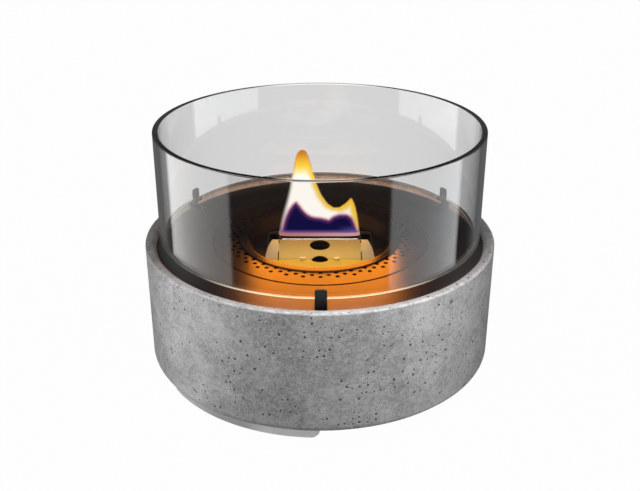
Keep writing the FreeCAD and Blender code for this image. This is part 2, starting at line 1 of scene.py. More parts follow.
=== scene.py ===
# %% [markdown]
# # A tabletop fire pit
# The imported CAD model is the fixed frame, in metres and already in place. The folded and drilled sheet
# parts keep their CAD shape and get a better finish. The cast concrete, the thick glass, the screws and
# the wick carry detail that CAD leaves out, so they are worked out here as surfaces, and the flame,
# which is no solid, is made here alone.

# %% Load the frame
import math
import bmesh
import bpy
import numpy as np
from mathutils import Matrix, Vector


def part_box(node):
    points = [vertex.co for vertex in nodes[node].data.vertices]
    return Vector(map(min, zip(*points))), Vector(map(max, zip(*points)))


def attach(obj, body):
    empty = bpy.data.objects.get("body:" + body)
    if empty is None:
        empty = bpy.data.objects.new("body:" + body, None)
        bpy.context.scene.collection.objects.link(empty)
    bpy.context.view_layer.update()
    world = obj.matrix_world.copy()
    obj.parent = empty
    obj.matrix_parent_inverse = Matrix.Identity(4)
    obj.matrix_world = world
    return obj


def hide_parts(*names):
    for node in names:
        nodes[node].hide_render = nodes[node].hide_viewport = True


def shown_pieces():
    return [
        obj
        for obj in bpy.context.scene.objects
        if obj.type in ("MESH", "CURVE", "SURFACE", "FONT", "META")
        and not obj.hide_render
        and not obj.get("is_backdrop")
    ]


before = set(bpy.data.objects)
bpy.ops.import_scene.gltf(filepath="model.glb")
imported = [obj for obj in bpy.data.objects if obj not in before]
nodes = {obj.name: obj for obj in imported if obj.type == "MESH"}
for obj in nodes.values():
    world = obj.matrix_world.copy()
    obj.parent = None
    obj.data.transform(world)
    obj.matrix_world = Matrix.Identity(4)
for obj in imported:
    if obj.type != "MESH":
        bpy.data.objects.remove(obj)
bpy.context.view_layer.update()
MM = 0.001

# %% [markdown]
# ## The camera
# The view was fitted to the circles of the glass, the rim and the deck: their long and short axes give
# the angle at which we look down, and the way they shrink with distance gives the focal length.
# Everything that follows is judged through this camera, so it comes first.

# %% Camera
IMAGE_WIDTH = 640
FOCAL_PIXELS = 892.9
SENSOR_WIDTH = 36.0
LOOK_DOWN_DEGREES = 24.515
AXIS_LEFT_OF_MIDDLE = 0.1
AXIS_BELOW_MIDDLE = 0.3
CAMERA_PLACE = (0.0, -0.78066, 0.4646)

scene = bpy.context.scene
scene.view_settings.view_transform = "Standard"
camera_data = bpy.data.cameras.new("camera")
camera_data.sensor_width = SENSOR_WIDTH
camera_data.lens = FOCAL_PIXELS / IMAGE_WIDTH * SENSOR_WIDTH
camera_data.shift_x = AXIS_LEFT_OF_MIDDLE / IMAGE_WIDTH
camera_data.shift_y = AXIS_BELOW_MIDDLE / IMAGE_WIDTH
camera = bpy.data.objects.new("camera", camera_data)
camera.location = CAMERA_PLACE
camera.rotation_euler = (math.radians(90 - LOOK_DOWN_DEGREES), 0, 0)
scene.collection.objects.link(camera)
scene.camera = camera
print("lens", round(camera_data.lens, 2), "mm")

# %% [markdown]
# ## Shader arithmetic
# A finish is a small formula: grain times this, plus pits times that. Writing it as nodes by hand hides
# the formula, so a socket is wrapped in a class whose operators add the Math nodes, and every other node
# comes from one method that takes its settings first and then what goes into its sockets.

# %% Shader helpers
class Value:
    """A number that changes over a surface. Arithmetic on it adds Math nodes to its finish."""

    def __init__(self, finish, socket):
        self.finish = finish
        self.socket = socket

    def __add__(self, other):
        return self.finish.math("ADD", self, other)

    def __mul__(self, other):
        return self.finish.math("MULTIPLY", self, other)

    __radd__ = __add__
    __rmul__ = __mul__

    def __sub__(self, other):
        return self.finish.math("SUBTRACT", self, other)

    def __rsub__(self, other):
        return self.finish.math("SUBTRACT", other, self)

    def __truediv__(self, other):
        return self.finish.math("DIVIDE", self, other)

    def __pow__(self, other):
        return self.finish.math("POWER", self, other)

    def __lt__(self, other):
        return self.finish.math("LESS_THAN", self, other)

    def __abs__(self):
        return self.finish.math("ABSOLUTE", self)


class Finish:
    """The node tree of a material or of the world."""

    def __init__(self, owner):
        owner.use_nodes = True
        self.owner = owner
        self.tree = owner.node_tree
        self.tree.nodes.clear()

    def node(self, kind, settings=None, inputs=None):
        """One node: its settings are set first, then each socket gets a value or a link."""
        made = self.tree.nodes.new("ShaderNode" + kind)
        for name, setting in (settings or {}).items():
            setattr(made, name, setting)
        for name, given in (inputs or {}).items():
            if isinstance(given, Value):
                self.tree.links.new(given.socket, made.inputs[name])
            else:
                made.inputs[name].default_value = given
        return made

    def get(self, node, output=0):
        return Value(self, node.outputs[output])

    def math(self, operation, *given):
        return self.get(self.node("Math", {"operation": operation}, dict(enumerate(given))))

    def mix(self, share, first, second):
        """A colour between two colours, by a share from 0 to 1."""
        return self.get(self.node("Mix", {"data_type": "RGBA"}, {0: share, 6: first, 7: second}), 2)

    def fade(self, given, start, end):
        """0 up to start, 1 from end on, and a smooth step between them."""
        sockets = {"Value": given, "From Min": start, "From Max": end}
        return self.get(self.node("MapRange", {"interpolation_type": "SMOOTHSTEP"}, sockets))

    def layered(self, colour, layers):
        """A colour painted over by layers, each a value, the start and end of its fade and its colour."""
        for given, start, end, over in layers:
            colour = self.mix(self.fade(given, start, end), colour, over)
        return colour

    def place(self, scale=(1, 1, 1)):
        """Object coordinates in metres, stretched where a scale is given."""
        where = self.get(self.node("TexCoord"), "Object")
        if scale == (1, 1, 1):
            return where
        return self.get(self.node("Mapping", None, {"Vector": where, "Scale": scale}))

    def axes(self):
        """The three object coordinates in metres, one by one."""
        split = self.node("SeparateXYZ", None, {"Vector": self.place()})
        return [self.get(split, axis) for axis in "XYZ"]

    def noise(self, where, size, detail=3.0, roughness=0.5, distortion=0.0):
        """Cloudy noise from 0 to 1 whose blotches are about the given size in metres."""
        sockets = {"Vector": where, "Scale": 1 / size, "Detail": detail, "Roughness": roughness,
                   "Distortion": distortion}
        return self.get(self.node("TexNoise", None, sockets))

    def attribute(self, name):
        """A number that was marked on the vertices."""
        return self.get(self.node("Attribute", {"attribute_name": name}), "Fac")

    def bump(self, height, depth):
        """The normal of a surface raised by a height from 0 to 1 times a depth in metres."""
        return self.get(self.node("Bump", None, {"Height": height, "Distance": depth, "Strength": 1.0}))

    def surface(self, inputs):
        """A Principled shader on the output of the material, which is returned."""
        shader = self.node("BsdfPrincipled", None, inputs)
        return self.node("OutputMaterial", None, {"Surface": self.get(shader)})


def new_finish(name):
    return Finish(bpy.data.materials.new(name))


def grey(level):
    return (level, level, level, 1.0)


def scaled(colour, share):
    """A darker or lighter colour of the same hue."""
    return tuple(part * share for part in colour[:3]) + (1.0,)


print("shader helpers ready")

# %% [markdown]
# ## The studio
# The photo was lit by two tall soft panels, one at each side, which show as pale bands on the front of
# the glass, with little light from above. A world that is bright in those two directions does the same
# for every surface. Straight rays, and rays that only pass through the glass, see plain white, so the
# background is white without more light on the object.

# %% World
PANEL_LEFT = {"azimuth": 175.5, "half": 29.5, "edge": 3.0, "strength": 1.30, "above": 0.16, "higher": 0.25}
PANEL_RIGHT = {"azimuth": -10.7, "half": 29.0, "edge": 3.0, "strength": 1.46, "above": 0.06, "higher": 0.0}
PANEL_TOP = 0.72
FRONT_FILL = 0.052
OVERHEAD = 0.28
DARK = 0.03
WARM_SIDE = (1.0, 0.985, 0.965, 1.0)
COOL_SIDE = (0.965, 0.985, 1.0, 1.0)
BEHIND_GLASS = 0.845
BEHIND_LEVEL = 0.12
OVER_RIM = 0.48
DEEPER = 0.45
HORIZON = (-0.06, 0.02)
TO_BACK_WALL = (-0.4, 0.4)
HIGHER_FROM = (-0.42, -0.33)
OVER_RIM_FROM = (-0.30, -0.28)
BEHIND_FROM = (0.5, 0.8)
FILL_FROM = (0.2, 0.8)
FILL_ABOVE = (0.1, 0.35)
OVERHEAD_FROM = (0.3, 0.9)

scene.world = bpy.data.worlds.new("studio")
studio = Finish(scene.world)
split = studio.node("SeparateXYZ", None, {"Vector": studio.get(studio.node("TexCoord"), "Generated")})
east, north, high = (studio.get(split, axis) for axis in "XYZ")
level = (east * east + north * north) ** 0.5 + 0.0001


def panel(azimuth, half, edge, strength, above, higher):
    """A tall bright panel: 1 where the level direction is within half an angle of its azimuth, brighter
    towards the back, higher up and over the rim, and a share of that above the horizon."""
    turn = math.radians(azimuth)
    toward = (east * math.cos(turn) + north * math.sin(turn)) / level
    across = studio.fade(toward, math.cos(math.radians(half + edge)), math.cos(math.radians(half)))
    shaded = 1 - studio.fade(high, *HORIZON) * (1 - above)
    brighter = 1 + DEEPER * studio.fade(north / level, *TO_BACK_WALL)
    brighter = brighter + higher * studio.fade(high, *HIGHER_FROM)
    brighter = brighter + OVER_RIM * studio.fade(high, *OVER_RIM_FROM)
    return across * brighter * shaded * (1 - studio.fade(high, PANEL_TOP, PANEL_TOP + 0.1)) * strength


behind = studio.fade(north / level, *BEHIND_FROM) * (1 - studio.fade(high, *HORIZON)) * BEHIND_LEVEL
fill = studio.fade(north * -1, *FILL_FROM) * studio.fade(high, *FILL_ABOVE) * FRONT_FILL
light = panel(**PANEL_LEFT) + panel(**PANEL_RIGHT) + behind + fill
light = light + studio.fade(high, *OVERHEAD_FROM) * OVERHEAD + DARK


def straight(finish):
    """How white a straight ray finds the background: 1 at first sight, a little less through glass."""
    path = finish.node("LightPath")
    first = finish.get(path, "Diffuse Depth") + finish.get(path, "Glossy Depth") < 0.5
    through = 1 - (finish.get(path, "Transmission Depth") < 0.5)
    return first, 1 - through * (1 - BEHIND_GLASS)


seen, white = straight(studio)
tint = studio.mix(studio.fade(east, -0.5, 0.5), WARM_SIDE, COOL_SIDE)
sky = studio.node("Background", None, {"Color": studio.mix(seen, tint, grey(1.0)),
                                       "Strength": seen * white + (1 - seen) * light})
studio.node("OutputWorld", None, {"Surface": studio.get(sky)})
print("world ready")

# %% [markdown]
# ## The floor
# The floor is a plain pale sheet. Where a straight ray meets it, it is as white as the background and
# only a trace of the object's shadow is left. It isn't seen in mirrors or through the glass, so that the
# panels show there.

# %% Floor
FLOOR_SIZE = 6.0
FLOOR_LEVEL = -0.0002
FLOOR_GREY = 0.8
FLOOR_WHITE = 0.98

floor_finish = new_finish("floor")
seen, white = straight(floor_finish)
matt = floor_finish.node("BsdfDiffuse", None, {"Color": grey(FLOOR_GREY)})
paper = floor_finish.node("Emission", None, {"Color": grey(1.0), "Strength": white})
both = floor_finish.node("MixShader", None, {0: seen * FLOOR_WHITE, 1: floor_finish.get(matt),
                                             2: floor_finish.get(paper)})
floor_finish.node("OutputMaterial", None, {"Surface": floor_finish.get(both)})

floor_mesh = bpy.data.meshes.new("floor")
reach = FLOOR_SIZE / 2
corners = [(-reach, -reach, FLOOR_LEVEL), (reach, -reach, FLOOR_LEVEL),
           (reach, reach, FLOOR_LEVEL), (-reach, reach, FLOOR_LEVEL)]
floor_mesh.from_pydata(corners, [], [(0, 1, 2, 3)])
floor_mesh.materials.append(floor_finish.owner)
floor = bpy.data.objects.new("floor", floor_mesh)
scene.collection.objects.link(floor)
floor.visible_glossy = False
floor.visible_transmission = False
floor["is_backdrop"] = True
print("floor ready")

# %% [markdown]
# ## Surfaces as grids
# A turned piece is a profile of radius and height, carried round the axis. The profile is a short list
# of corners with a rounding for each, cut into steps, and the whole surface is one array of points.

# %% Outline helpers
GUARD = 0.2


def rounded(corners, steps=5):
    """A closed outline of (radius, height, rounding) corners. A rounded corner becomes an arc that
    starts one tangent length before it and ends one after: tangent = rounding * tan(turn / 2). A guard
    point just outside each end of the arc keeps the shading of the flat sides flat."""
    shape = np.array(corners, float)
    places = shape[:, :2]
    outline = []
    neighbours = zip(np.roll(places, 1, 0), places, np.roll(places, -1, 0), shape[:, 2])
    for before, here, after, rounding in neighbours:
        if rounding == 0:
            outline.append(here[None])
            continue
        coming = (here - before) / np.linalg.norm(here - before)
        leaving = (after - here) / np.linalg.norm(after - here)
        cross = coming[0] * leaving[1] - coming[1] * leaving[0]
        angle = math.atan2(cross, coming @ leaving)
        tangent = rounding * abs(math.tan(angle / 2))
        left = np.array([-coming[1], coming[0]]) * math.copysign(rounding, angle)
        centre = here - coming * tangent + left
        turns = np.linspace(0, angle, steps + 1)[:, None]
        arm = -left
        arc = centre + arm * np.cos(turns) + np.array([-arm[1], arm[0]]) * np.sin(turns)
        outline += [arc[:1] - coming * GUARD, arc, arc[-1:] + leaving * GUARD]
    return np.concatenate(outline)


def divided(outline, longest):
    """The outline with each side cut into equal steps, none longer than the limit for that side."""
    sides = np.roll(outline, -1, 0) - outline
    counts = np.maximum(1, np.ceil(np.linalg.norm(sides, axis=1) / longest)).astype(int)
    step = np.arange(counts.sum()) - np.repeat(np.cumsum(counts) - counts, counts)
    share = (step / np.repeat(counts, counts))[:, None]
    return np.repeat(outline, counts, 0) + np.repeat(sides, counts, 0) * share


def full_turn(columns):
    """Equal angles once round the axis."""
    return np.linspace(0, 2 * math.pi, columns, endpoint=False)


def turned(profile, columns):
    """Point (r, z) at angle a goes to (r cos a, r sin a, z). Rows follow the profile, columns the turn."""
    angles = full_turn(columns)
    radius, height = profile[:, 0:1], profile[:, 1:2]
    return np.stack([radius * np.cos(angles), radius * np.sin(angles), height + 0 * angles], axis=-1)


def quads(rows, columns, close_rows, close_columns):
    """Corner indices of the grid's faces, anticlockwise seen from outside."""
    row = np.arange(rows if close_rows else rows - 1)[:, None]
    column = np.arange(columns if close_columns else columns - 1)[None]
    next_row, next_column = (row + 1) % rows, (column + 1) % columns
    corners = [row * columns + column, row * columns + next_column,
               next_row * columns + next_column, next_row * columns + column]
    return np.stack(corners, axis=-1).reshape(-1, 4)


print("outline helpers ready")

# %% [markdown]
# ## Pieces from grids
# One call makes an object from its grids of points. Others merge its poles, mark numbers on its vertices
# for the finish, dress it and say which CAD nodes it stands for.

# %% Piece helpers
def new_piece(name, grids, close_rows=True, close_columns=True, crease=35):
    """One object at the origin from one or more grids of points, whose rows and columns may close on
    themselves. Edges with a turn beyond the crease, in degrees, are sharp."""
    points, faces, count = [], [], 0
    for grid in grids:
        faces.append(quads(grid.shape[0], grid.shape[1], close_rows, close_columns) + count)
        points.append(grid.reshape(-1, 3))
        count += len(points[-1])
    mesh = bpy.data.meshes.new(name)
    mesh.from_pydata(np.concatenate(points).tolist(), [], np.concatenate(faces).tolist())
    mesh.polygons.foreach_set("use_smooth", np.ones(len(mesh.polygons), bool))
    mesh.set_sharp_from_angle(angle=math.radians(crease))
    piece = bpy.data.objects.new(name, mesh)
    scene.collection.objects.link(piece)
    return piece


def merge_poles(piece):
    """Joins points that lie in one place, so that a pole or a closed end is one vertex."""
    shape = bmesh.new()
    shape.from_mesh(piece.data)
    bmesh.ops.remove_doubles(shape, verts=shape.verts, dist=1e-6)
    shape.to_mesh(piece.data)
    shape.free()


def ramp(values, window):
    """0 up to the start of the window, 1 from its end on, and straight between them."""
    return np.clip((values - window[0]) / (window[1] - window[0]), 0, 1)


def mark(piece, name, values):
    """Writes one number per vertex, which a finish can read back."""
    attribute = piece.data.attributes.new(name, "FLOAT", "POINT")
    attribute.data.foreach_set("value", np.asarray(values, np.float32).ravel())


def dress(piece, finish):
    """Gives a piece or a CAD node its one material."""
    piece.data.materials.clear()
    piece.data.materials.append(finish.owner)


def stand_for(piece, replaced, body, finish):
    """Dresses a piece that takes the place of CAD nodes and moves with their body."""
    dress(piece, finish)
    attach(piece, body)
    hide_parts(*replaced)
    print(piece.name, len(piece.data.polygons), "faces for", *replaced)


print("piece helpers ready")

# %% [markdown]
# ## Cast concrete
# The bowl was poured into a smooth mould, so it is even and matt, with cloudy greys, a fine sandy grain
# and small holes where air bubbles met the mould. The larger holes and a little unevenness are real
# dents in the grid. The many small ones are too fine for a mesh: they are cells of a Voronoi pattern on
# the skin laid flat, so that each is a full round hole, with a paler edge where the skin has thinned.
# Every hole is painted dark with the shade that falls inside it, and the outer edge of the rim is paler,
# as wear with a painted highlight that fades out to the left.

# %% Concrete finish
CONCRETE_DARK = (0.20, 0.199, 0.198, 1.0)
CONCRETE_LIGHT = (0.54, 0.538, 0.535, 1.0)
# the paler colour of the rim's outer edge: wear with a painted highlight
CONCRETE_WEAR_HIGHLIGHT = (0.66, 0.66, 0.65, 1.0)
# the colour of the painted shade inside the holes and dents
PIT_SHADE = (0.055, 0.053, 0.052, 1.0)
SKIN_RADIUS = 0.164
SMALL_HOLES = {"spacing": 0.0060, "share": 0.42, "largest": 0.0014, "blur": 0.00024}
TINY_HOLES = {"spacing": 0.0032, "share": 0.40, "largest": 0.0007, "blur": 0.00016}

concrete = new_finish("concrete")
where = concrete.place()
cloud = concrete.noise(where, 0.045, 5.0, 0.6, 0.6)
curl = concrete.noise(where, 0.011, 4.0, 0.55, 2.2)
mottle = concrete.noise(where, 0.0036, 3.0, 0.6, 1.0)
sand = concrete.noise(where, 0.0015, 3.0, 0.65)
vein = 1 - concrete.fade(abs(curl - 0.5), 0.0, 0.022)
crowd = 0.15 + 1.7 * concrete.fade(concrete.noise(where, 0.030, 2.0), 0.38, 0.66)
across, deep, high = concrete.axes()
grain = 1.10 - 0.40 * concrete.fade(abs(across), 0.02, 0.10)
# the painted highlight on the rim's edge is strong at the right and faint at the left
wear_highlight_share = 0.25 + 0.75 * concrete.fade(across, -0.11, -0.02)


def laid_flat(radius):
    """The skin unrolled: the way round from the front, and the way up the wall and on across the rim,
    which is the height less the distance from the axis."""
    way_round = concrete.math("ARCTAN2", across, deep * -1) * radius
    way_up = high - (across * across + deep * deep) ** 0.5
    return concrete.get(concrete.node("CombineXYZ", None, {"X": way_round, "Y": way_up}))


def bubbles(spacing, share, largest, blur):
    """Round holes: one place per cell, of which a share are open, more where the holes crowd, with a
    radius from 0.3 to 1 times the largest and a ragged edge. Returns the hole and the paler ring."""
    sockets = {"Vector": flat_skin, "Scale": 1 / spacing}
    cells = concrete.node("TexVoronoi", {"voronoi_dimensions": "2D"}, sockets)
    chances = concrete.node("SeparateColor", None, {0: concrete.get(cells, "Color")})
    is_open = 1 - (concrete.get(chances, 0) < 1 - crowd * share)
    size = concrete.get(chances, 1) ** 2.0
    radius = (0.3 + 0.7 * size) * (largest / spacing)
    past_edge = concrete.get(cells, "Distance") - radius + (sand - 0.5) * (1.6 * blur / spacing)
    hole = (1 - concrete.fade(past_edge, -blur / spacing, blur / spacing)) * is_open
    ring = (1 - concrete.fade(past_edge, blur / spacing, 4 * blur / spacing)) * is_open
    return hole, ring - hole


flat_skin = laid_flat(SKIN_RADIUS)
small, small_ring = bubbles(**SMALL_HOLES)
tiny, tiny_ring = bubbles(**TINY_HOLES)
dent = concrete.attribute("dent")
pit_depth_and_shade = concrete.math("MAXIMUM", concrete.math("MAXIMUM", small, tiny * 0.7), dent)
tone = (cloud * 0.9 + (curl - 0.5) * 0.45 + ((mottle - 0.5) * 0.80 + (sand - 0.5) * 0.75) * grain
        + vein * 0.22 + (small_ring + tiny_ring) * 0.22)
skin = concrete.mix(concrete.fade(tone, 0.0, 1.0), CONCRETE_DARK, CONCRETE_LIGHT)
# wear with a painted highlight on the outer edge of the rim
wear_highlight_share = wear_highlight_share * (0.2 + 0.6 * concrete.fade(curl, 0.36, 0.64))
skin = concrete.mix(concrete.attribute("edge_wear_highlight") * wear_highlight_share, skin, CONCRETE_WEAR_HIGHLIGHT)
# holes and dents are painted dark with the shade that falls inside them, and are also sunk by the bump
concrete.surface({
    "Base Color": concrete.mix(pit_depth_and_shade * 0.85, skin, PIT_SHADE),
    "Roughness": 0.74 + sand * 0.16,
    "Specular IOR Level": 0.35,
    "Normal": concrete.bump((sand * 0.16 + mottle * 0.12) * grain + cloud * 0.5 - pit_depth_and_shade, 0.0006)})
print("concrete finish ready")

# %% [markdown]
# ## The casting
# The profile runs from the middle of the underside round the wall and the rim to the middle of the
# hollow. The wall is cut finely, so that the dents are real. Each point then sinks along its normal by
# the depth of the dents near it and by a slow ripple, and the outer edge of the rim is marked for its
# wear and a painted highlight.

# %% Bowl
WALL_STEP = 1.5
COARSE_STEP = 14.0
BOWL_COLUMNS = 688
RIM_ROUND = 1.6
RIM_INNER_ROUND = 4.8
WEAR_HIGHLIGHT_BAND = (160.5, 162.0)
BASE_ROUND = 6.0
RIM_INSIDE = 154.0
LEDGE_INSIDE = 143.0
LEDGE_LEVEL = 116.0
HOLLOW_RADIUS = 137.0
HOLLOW_LEVEL = 26.0
DENT_COUNT = 40
DENT_DEPTH = 0.55
DENTS_ABOVE_BASE = 4
UNEVEN = 0.12

low, top = (np.array(corner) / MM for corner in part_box("concrete_bowl"))
bowl_radius = top[0]
profile = rounded([(0, low[2], 0), (bowl_radius, low[2], BASE_ROUND), (bowl_radius, top[2], RIM_ROUND),
                   (RIM_INSIDE, top[2], RIM_INNER_ROUND), (RIM_INSIDE, LEDGE_LEVEL, 0),
                   (LEDGE_INSIDE, LEDGE_LEVEL, 0), (HOLLOW_RADIUS, HOLLOW_LEVEL, 0),
                   (0, HOLLOW_LEVEL, 0)])
on_wall = (np.minimum(profile[:, 0], np.roll(profile[:, 0], -1)) > RIM_INSIDE - 0.1)
profile = divided(profile, np.where(on_wall, WALL_STEP, COARSE_STEP))
profile = profile[:np.argmax(profile[:, 1] * (profile[:, 0] < 1e-6)) + 1]
grid = turned(profile, BOWL_COLUMNS)
slope = np.gradient(profile, axis=0)
slope /= np.linalg.norm(slope, axis=1, keepdims=True)
angle = full_turn(BOWL_COLUMNS)
outward = np.stack([slope[:, 1:2] * np.cos(angle), slope[:, 1:2] * np.sin(angle),
                    -slope[:, 0:1] + 0 * angle], axis=-1)

rng = np.random.default_rng(11)
dent_angle = rng.uniform(0, 2 * math.pi, DENT_COUNT)
dent_height = rng.uniform(low[2] + DENTS_ABOVE_BASE, top[2], DENT_COUNT)
dent_size = 1.0 + rng.random(DENT_COUNT) ** 3
dents = np.stack([bowl_radius * np.cos(dent_angle), bowl_radius * np.sin(dent_angle), dent_height], -1)
flat = grid.reshape(-1, 3)
closeness = np.zeros(len(flat))
for centre, size in zip(dents, dent_size):
    gap = np.linalg.norm(flat - centre, axis=1) / size
    closeness = np.maximum(closeness, np.clip(1 - gap ** 2, 0, 1) * size)
ripple = (np.sin(3 * angle + 0.6) + np.sin(7 * angle + 2.1) + np.sin(13 * angle)) / 3
sink = closeness.reshape(grid.shape[:2]) * DENT_DEPTH + UNEVEN * (0.5 + 0.5 * ripple)
sink[profile[:, 1] < low[2] + 0.01] = 0
bowl = new_piece("bowl_casting", [(grid - outward * sink[..., None]) * MM], close_rows=False)
mark(bowl, "dent", np.clip(closeness * 1.2, 0, 1))
# the outer edge of the rim, which gets wear and a painted highlight
on_top = np.clip((profile[:, 1] - top[2] + RIM_ROUND) / RIM_ROUND, 0, 1)
on_edge = on_top * ramp(profile[:, 0], WEAR_HIGHLIGHT_BAND)
mark(bowl, "edge_wear_highlight", np.repeat(on_edge, BOWL_COLUMNS))
merge_poles(bowl)
stand_for(bowl, ("concrete_bowl", "bowl_floor"), "bowl", concrete)

# %% [markdown]
# ## Feet and seals
# The pads are plain moulded rubber, a lighter grey than the concrete, with painted shade on a stretch at
# the left, as dark as the concrete above it. A fine bump keeps them from looking like polished plastic.
# The seals and the liners are black and hardly seen.

# %% Rubber
# where the painted shade on the left pad starts and ends, across, in metres
PAINTED_SHADE_FROM = (-0.125, -0.085)
PAINTED_SHADE_TO = (-0.068, -0.045)
PAD_GREY = (0.52, 0.52, 0.517, 1.0)
SEAL_BLACK = (0.030, 0.030, 0.032, 1.0)
FOOT_SIDES = ("left", "right", "rear")
CLIP_SIDES = ("front", "left", "right")


def rubber(name, colour):
    """Moulded rubber with a cloudy bloom and a fine tooth, and speckled painted shade on a stretch at the
    left.
    """
    finish = new_finish(name)
    bloom = finish.noise(finish.place(), 0.012, 4.0)
    tooth = finish.noise(finish.place(), 0.0007, 2.0)
    tone = finish.mix(bloom, scaled(colour, 0.82), colour)
    across = finish.axes()[0]
    # painted shade, speckled, on the stretch of the left pad under the bowl
    painted_shade = finish.fade(across, *PAINTED_SHADE_FROM) * (1 - finish.fade(across, *PAINTED_SHADE_TO))
    speckle = finish.noise(finish.place(), 0.003, 3.0, 0.65)
    tone = finish.mix(painted_shade * (0.6 + 0.5 * speckle), tone, scaled(colour, 0.5))
    finish.surface({"Base Color": tone, "Roughness": 0.62 + tooth * 0.25,
                    "Normal": finish.bump(tooth, 0.00012)})
    return finish


grey_rubber = rubber("grey_rubber", PAD_GREY)
black_rubber = rubber("black_rubber", SEAL_BLACK)
for side in FOOT_SIDES:
    dress(nodes["foot_pad_" + side], grey_rubber)
for side in CLIP_SIDES:
    dress(nodes["clip_liner_" + side], black_rubber)
for seal in ("ledge_seal", "tank_seal"):
    dress(nodes[seal], black_rubber)
print("rubber parts dressed")

# %% [markdown]
# ## Dark enamel
# The deck, the vent ring and the dish are dark, satin and smooth enough to mirror the flame as a broad
# glow. The colour is nearly black, and the glow comes from the lamps in the flame. Roughness changes a
# little from place to place, as wiped enamel does, and dust lies under the edge of the glass. The colours
# of that dust also paint light: grey in the gap under the glass, and a cool dark shade at its sides that
# takes out the orange of the flame lamps.

# %% Enamel finishes
RING_SEAM = 0.10175
TAB_FOOT = 0.1094
TAB_REACH = 0.050
LIP_SIDE = 0.0760
LIP_TOP = 0.1202
LIP_GLOW = (0.16, 0.052, 0.010, 1.0)
CLIP_SHADED = (0.123, 0.1375)
DUST_MIDDLE = 0.0257
DUST_AND_LIGHT_FROM = (0.151, 0.156)
COLD_SHADE_FROM = (0.035, 0.075)
FAR_FROM = (0.085, 0.125)
# the dust colours also paint light: grey in the gap under the glass, a cool dark shade at its sides, and
# paler again far out
DUST_AND_LIGHT_GREY = (0.050, 0.061, 0.075, 1.0)
COLD_PAINTED_SHADE = (0.002, 0.010, 0.020, 1.0)
FAR_DUST_AND_LIGHT = (0.034, 0.050, 0.060, 1.0)
BARE_STEEL = (0.84, 0.76, 0.54, 1.0)
NEAR_BLACK = (0.010, 0.0097, 0.0097, 1.0)
CLIP_BLACK = (0.034, 0.034, 0.035, 1.0)
SHADE = (0.001, 0.001, 0.001, 1.0)


def off_axis(finish):
    """Distance from the axis of the bowl."""
    across, deep, _ = finish.axes()
    return (across * across + deep * deep) ** 0.5


def enamel(name, colour, gloss, uneven, shine, change=None, glow=None):
    """Satin enamel, rough in the seam round the ring. A change is a mask from 0 to 1 and the colour where
    it is 1. Without one there is dust in a crescent at the front, where a cloth can't reach under the
    glass, and its colours also paint light: grey in the gap, and a cool dark shade at the sides against
    the orange of the flame lamps. A glow is a mask and the light thrown back there."""
    finish = new_finish(name)
    across, deep, _ = finish.axes()
    wiped = finish.noise(finish.place(), 0.03, 4.0, 0.6, 0.8)
    speck = finish.noise(finish.place(), 0.0009, 2.0)
    in_seam = 1 - finish.fade(abs(off_axis(finish) - RING_SEAM), 0.0008, 0.0014)
    paint = finish.mix(wiped, colour, scaled(colour, 1.5))
    from_middle = deep - DUST_MIDDLE
    dust_and_light = finish.fade((across * across + from_middle * from_middle) ** 0.5, *DUST_AND_LIGHT_FROM)
    if change:
        mask, other = change
        paint = finish.mix(mask(finish), paint, other)
    else:
        # dust whose colours also paint the light in the gap and a cool shade at its sides
        dust_and_light_tone = finish.layered(DUST_AND_LIGHT_GREY, ((abs(across), *COLD_SHADE_FROM, COLD_PAINTED_SHADE),
                                        (abs(across), *FAR_FROM, FAR_DUST_AND_LIGHT)))
        paint = finish.mix(dust_and_light * (0.6 + 0.4 * wiped), paint, dust_and_light_tone)
    rough = gloss + wiped * uneven + in_seam * 0.5 + dust_and_light * 0.08
    inputs = {"Base Color": paint, "Roughness": rough, "Specular IOR Level": shine,
              "Normal": finish.bump(speck, 0.00003)}
    if glow:
        mask, light = glow
        inputs["Emission Color"] = finish.mix(mask(finish), grey(0), light)
        inputs["Emission Strength"] = 1.0
    finish.surface(inputs)
    return finish


def tab_top(finish):
    """1 on the locating tabs, which stand above the floor of the dish near its middle."""
    above = finish.fade(finish.axes()[2], TAB_FOOT, TAB_FOOT + 0.0002)
    return above * (1 - finish.fade(off_axis(finish), TAB_REACH, TAB_REACH + 0.001))


def lip_side(finish):
    """1 on the outer side of the dish's lip at the front, where the bright ring below it shines back."""
    across, deep, height = finish.axes()
    outside = finish.fade(off_axis(finish), LIP_SIDE - 0.0004, LIP_SIDE)
    in_front = finish.fade(deep * -1, 0.0, 0.03) * (1 - finish.fade(abs(across), 0.02, 0.065))
    return outside * in_front * (1 - finish.fade(height, LIP_TOP - 0.0006, LIP_TOP))


def clip_foot(finish):
    """1 at the foot of a clip, in the shade between glass and rim, and 0 from the middle of its leg up."""
    return 1 - finish.fade(finish.axes()[2], *CLIP_SHADED)


dark_enamel = enamel("dark_enamel", NEAR_BLACK, 0.30, 0.10, 0.15)
dish_enamel = enamel("dish_enamel", NEAR_BLACK, 0.30, 0.10, 0.15, (tab_top, BARE_STEEL),
                     (lip_side, LIP_GLOW))
black_enamel = enamel("black_enamel", CLIP_BLACK, 0.42, 0.12, 0.22, (clip_foot, SHADE))
for name in ("deck_plate", "vent_ring"):
    dress(nodes[name], dark_enamel)
dress(nodes["burner_dish"], dish_enamel)
for side in CLIP_SIDES:
    dress(nodes["glass_clip_" + side], black_enamel)
print("enamel parts dressed")

# %% [markdown]
# ## Steel of the burner
# The cover is thin brushed steel which takes on gold from the heat and the flame. The brushing is noise
# drawn out along the slot, and it changes both the roughness and, a little, the colour. Over the gold,
# the cover's tones from ridge to flanges are painted reflection and painted shade.

